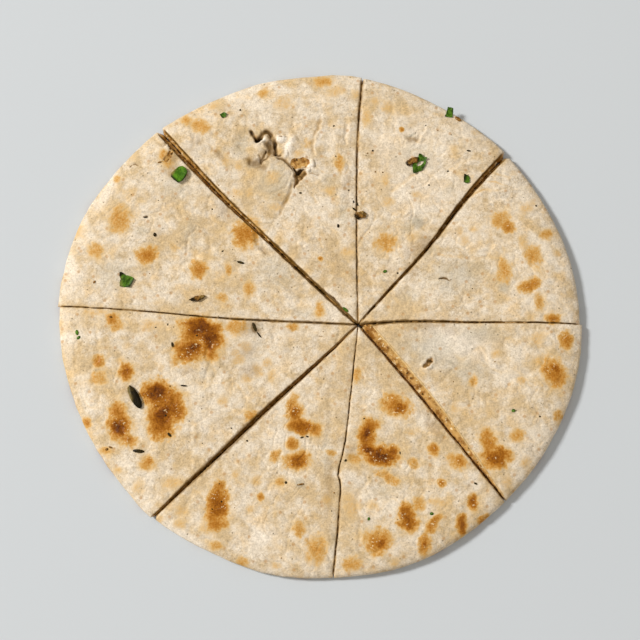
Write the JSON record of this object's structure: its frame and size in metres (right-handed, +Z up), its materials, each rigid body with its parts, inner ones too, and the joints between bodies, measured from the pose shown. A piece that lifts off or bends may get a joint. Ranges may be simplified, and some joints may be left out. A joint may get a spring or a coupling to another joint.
{
  "type": "kulcha",
  "caption": "Round stuffed flatbread cut into wedges that lie together, with chopped herbs and bits of filling on a scorched crust.",
  "frame": {"origin": "middle of the round's bounding box, on the flat surface it lies on", "axes": "+Z up through the bread, +Y from the middle towards the north cut between wedge_8 and wedge_1, +X towards the east cut between wedge_2 and wedge_3"},
  "size_m": [0.2423, 0.2364, 0.0089],
  "materials": {
    "bread_crust": "floury cream crust with golden to dark brown scorch marks",
    "leaf_green": "chopped coriander, dark green",
    "onion_green": "spring onion, bright green and moist",
    "chilli_olive": "dark olive sliver, slightly shiny",
    "fried_brown": "fried brown crumb"
  },
  "bodies": {
    "root": {"wedge_1": "bread_crust", "wedge_2": "bread_crust", "wedge_3": "bread_crust", "wedge_4": "bread_crust", "wedge_5": "bread_crust", "wedge_6": "bread_crust", "wedge_7": "bread_crust", "wedge_8": "bread_crust", "spring_onion_bit": "onion_green", "coriander_leaf_1": "leaf_green", "coriander_leaf_2": "leaf_green", "coriander_leaf_3": "leaf_green", "coriander_leaf_4": "leaf_green", "coriander_leaf_5": "leaf_green", "chilli_sliver": "chilli_olive", "cumin_seed": "fried_brown", "fried_onion_crumb_1": "fried_brown", "fried_onion_crumb_2": "fried_brown"}
  },
  "joints": []
}
